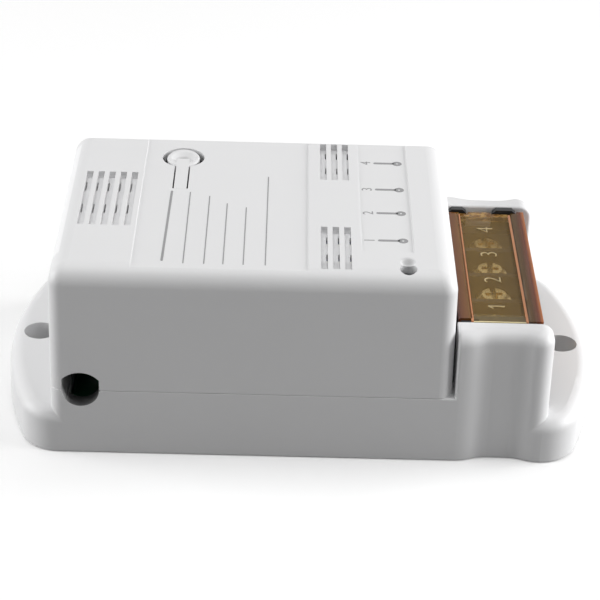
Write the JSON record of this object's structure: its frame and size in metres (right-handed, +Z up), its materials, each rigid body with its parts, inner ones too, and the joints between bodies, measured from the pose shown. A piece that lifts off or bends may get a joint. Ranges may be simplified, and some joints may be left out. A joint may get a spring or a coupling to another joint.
{
  "type": "smart relay module",
  "caption": "White wall-mount relay module with vented cover, keyhole push tab, amber lid over a barrier terminal block, and flanges with mounting holes.",
  "frame": {"origin": "middle of the underside, on the mounting plane", "axes": "+X along the length towards the terminals, +Y from front to rear, +Z up from the wall"},
  "size_m": [0.1056, 0.054, 0.036],
  "materials": {
    "white_shell": "fine moulded satin",
    "black_plastic": "moulded satin",
    "amber_plastic": "clear amber, polished",
    "brass_plate": "stamped",
    "brass_screw": "turned",
    "steel": "zinc plated",
    "board_green": "solder mask",
    "board_blue": "solder mask",
    "relay_blue": "moulded gloss",
    "relay_iron": "plated iron",
    "bobbin_nylon": "moulded",
    "copper_wire": "enamelled copper",
    "contact_bronze": "spring bronze",
    "tinned_pins": "tinned",
    "led_lens": "clear lens",
    "clear_pipe": "clear acrylic",
    "can_metal": "drawn can",
    "ferrite": "sintered",
    "fuse_brown": "moulded"
  },
  "bodies": {
    "housing": {"base_housing": "white_shell", "bridge_rectifier": "black_plastic", "circuit_board": "board_green", "cover_screws": "steel", "driver_transistor": "black_plastic", "input_capacitor": "can_metal", "input_fuse": "fuse_brown", "light_pipe": "clear_pipe", "output_capacitor": "can_metal", "power_inductor": "ferrite", "radio_board": "board_blue", "radio_shield": "steel", "receiver_antenna": "copper_wire", "receiver_board": "board_green", "regulator_chip": "black_plastic", "relay_base": "black_plastic", "relay_bobbin": "bobbin_nylon", "relay_case": "relay_blue", "relay_core": "relay_iron", "relay_fixed_contact": "contact_bronze", "relay_pins": "tinned_pins", "relay_winding": "copper_wire", "relay_yoke": "relay_iron", "status_led": "led_lens", "switch_body": "black_plastic", "terminal_block": "black_plastic", "terminal_clamps": "brass_plate", "terminal_contacts": "brass_plate", "terminal_screws": "brass_screw", "top_cover": "white_shell"},
    "button": {"button_tab": "white_shell"},
    "plunger": {"switch_plunger": "black_plastic"},
    "lid": {"terminal_lid": "amber_plastic"},
    "armature": {"relay_armature": "relay_iron", "relay_leaf": "contact_bronze"}
  },
  "joints": [
    {"name": "button_press", "type": "hinge", "parent": "housing", "child": "button", "pos_m": [-0.02235, 0.00472, 0.03475], "axis": [-1, 0, 0], "range_deg": [0, 1.58]},
    {"name": "plunger_press", "type": "slide", "parent": "housing", "child": "plunger", "axis": [0, 0, -1], "range_m": [0, 0.00035], "stiffness_N_per_m": 5, "springref_m": -0.0006},
    {"name": "lid_flip", "type": "hinge", "parent": "housing", "child": "lid", "pos_m": [0.0283, 0, 0.0232], "axis": [0, -1, 0], "range_deg": [0, 95]},
    {"name": "armature_pull", "type": "hinge", "parent": "housing", "child": "armature", "pos_m": [-0.0053, 0, 0.0221], "axis": [0, 1, 0], "range_deg": [0, 2.95], "stiffness_Nm_per_rad": 0.1, "springref_deg": -1.72}
  ],
  "couplings": [
    {"joint": "button_press", "follows": "plunger_press", "rad_per_m": 78.7}
  ]
}
